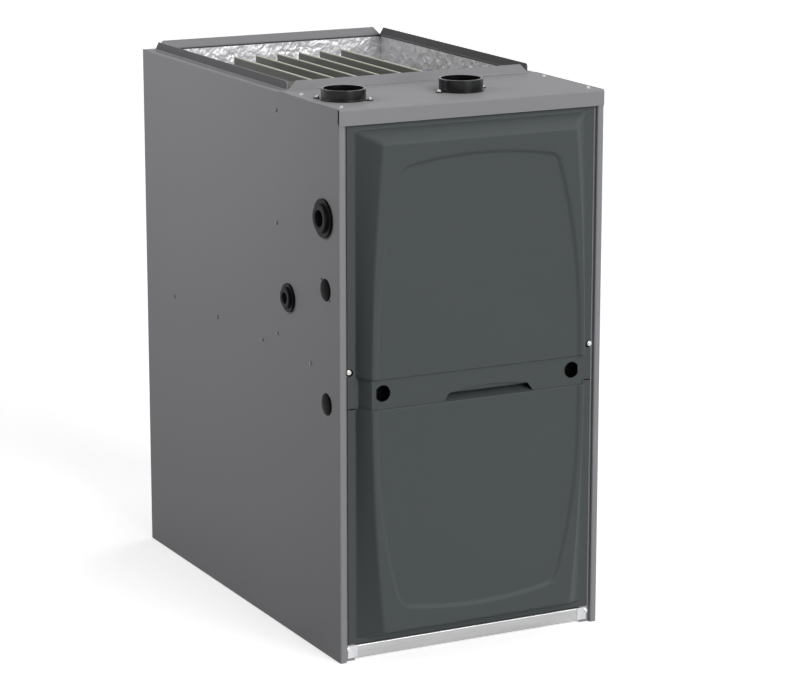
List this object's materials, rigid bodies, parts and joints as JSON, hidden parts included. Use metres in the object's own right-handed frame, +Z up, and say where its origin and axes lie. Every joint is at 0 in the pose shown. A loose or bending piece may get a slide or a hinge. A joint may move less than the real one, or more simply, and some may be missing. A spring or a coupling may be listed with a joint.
{
  "type": "forced air gas furnace",
  "caption": "Tall grey sheet metal warm air furnace with two dark pressed doors, top vent and intake collars and an open supply duct frame over clamshell heat exchangers.",
  "frame": {"origin": "middle of the closed bottom's underside, on the floor, centred between the side panels and between the door flanges and the back", "axes": "+Z up, the doors face -Y, +X towards the furnace's right side seen from the front"},
  "size_m": [0.457, 0.754, 0.857],
  "materials": {
    "cabinet_paint": "semi-gloss light grey enamel on sheet steel",
    "door_paint": "satin dark slate enamel on pressed sheet steel",
    "galvanised_steel": "bright galvanised sheet steel",
    "heat_exchanger_steel": "aluminised steel with an olive grey cast",
    "foil": "crinkled foil facing on fibre insulation",
    "black_plastic": "glossy black moulded plastic",
    "black_rubber": "semi-matte black moulded rubber",
    "cast_metal": "sand cast body and painted pipe",
    "motor_paint": "dark enamel",
    "grey_plastic": "matte light grey plastic and ceramic",
    "board_green": "green circuit board laminate",
    "zinc_steel": "zinc plated steel",
    "red_plastic": "dull red moulded knob"
  },
  "bodies": {
    "cabinet": {"left_side_panel": "cabinet_paint", "right_side_panel": "cabinet_paint", "back_panel": "cabinet_paint", "top_cap": "cabinet_paint", "base_pan": "galvanised_steel", "base_rail": "galvanised_steel", "blower_deck": "galvanised_steel", "vestibule_panel": "galvanised_steel", "heat_exchanger_cell_1": "heat_exchanger_steel", "heat_exchanger_cell_2": "heat_exchanger_steel", "heat_exchanger_cell_3": "heat_exchanger_steel", "heat_exchanger_cell_4": "heat_exchanger_steel", "heat_exchanger_cell_5": "heat_exchanger_steel", "heat_exchanger_cell_6": "heat_exchanger_steel", "secondary_coil": "heat_exchanger_steel", "left_foil_liner": "foil", "right_foil_liner": "foil", "back_foil_liner": "foil", "large_grommet": "black_rubber", "small_grommet": "black_rubber", "left_upper_plug": "black_plastic", "left_lower_plug": "black_plastic", "right_upper_plug": "black_plastic", "right_lower_plug": "black_plastic", "intake_collar": "black_plastic", "vent_collar": "black_plastic", "vent_pipe": "grey_plastic", "collector_box": "black_plastic", "inducer_housing": "black_plastic", "inducer_motor": "motor_paint", "burner_rack": "zinc_steel", "hot_surface_igniter": "grey_plastic", "flame_sensor": "grey_plastic", "gas_manifold": "cast_metal", "gas_valve": "cast_metal", "limit_switch": "grey_plastic", "pressure_switch": "black_plastic", "condensate_trap": "black_plastic", "control_plate": "galvanised_steel", "control_board": "board_green", "transformer": "motor_paint", "door_switch": "black_plastic", "blower_housing": "galvanised_steel", "blower_motor": "motor_paint", "blower_motor_mount": "zinc_steel", "left_blower_rail": "galvanised_steel", "right_blower_rail": "galvanised_steel"},
    "upper_door": {"upper_door": "door_paint", "left_door_well": "black_plastic", "right_door_well": "black_plastic"},
    "lower_door": {"lower_door": "door_paint"},
    "blower_wheel": {"blower_wheel": "galvanised_steel", "blower_shaft": "zinc_steel"},
    "inducer_wheel": {"inducer_wheel": "black_plastic"},
    "gas_valve_knob": {"gas_valve_knob": "red_plastic"},
    "door_switch_plunger": {"door_switch_plunger": "grey_plastic"}
  },
  "joints": [
    {"name": "upper_door_removal", "type": "slide", "parent": "cabinet", "child": "upper_door", "axis": [0, -1, 0], "range_m": [0, 0.25]},
    {"name": "lower_door_removal", "type": "slide", "parent": "cabinet", "child": "lower_door", "axis": [0, -1, 0], "range_m": [0, 0.25]},
    {"name": "blower_wheel_spin", "type": "hinge", "parent": "cabinet", "child": "blower_wheel", "pos_m": [0, -0.06, 0.182], "axis": [1, 0, 0], "continuous": true},
    {"name": "inducer_wheel_spin", "type": "hinge", "parent": "cabinet", "child": "inducer_wheel", "pos_m": [0.06481, -0.292, 0.54], "axis": [0, 1, 0], "continuous": true},
    {"name": "gas_valve_knob_turn", "type": "hinge", "parent": "cabinet", "child": "gas_valve_knob", "pos_m": [-0.15, -0.2614, 0.618], "axis": [0, -1, 0], "range_deg": [0, 90]},
    {"name": "door_switch_press", "type": "slide", "parent": "cabinet", "child": "door_switch_plunger", "axis": [0, 1, 0], "range_m": [0, 0.003], "stiffness_N_per_m": 300, "springref_m": -0.002}
  ]
}
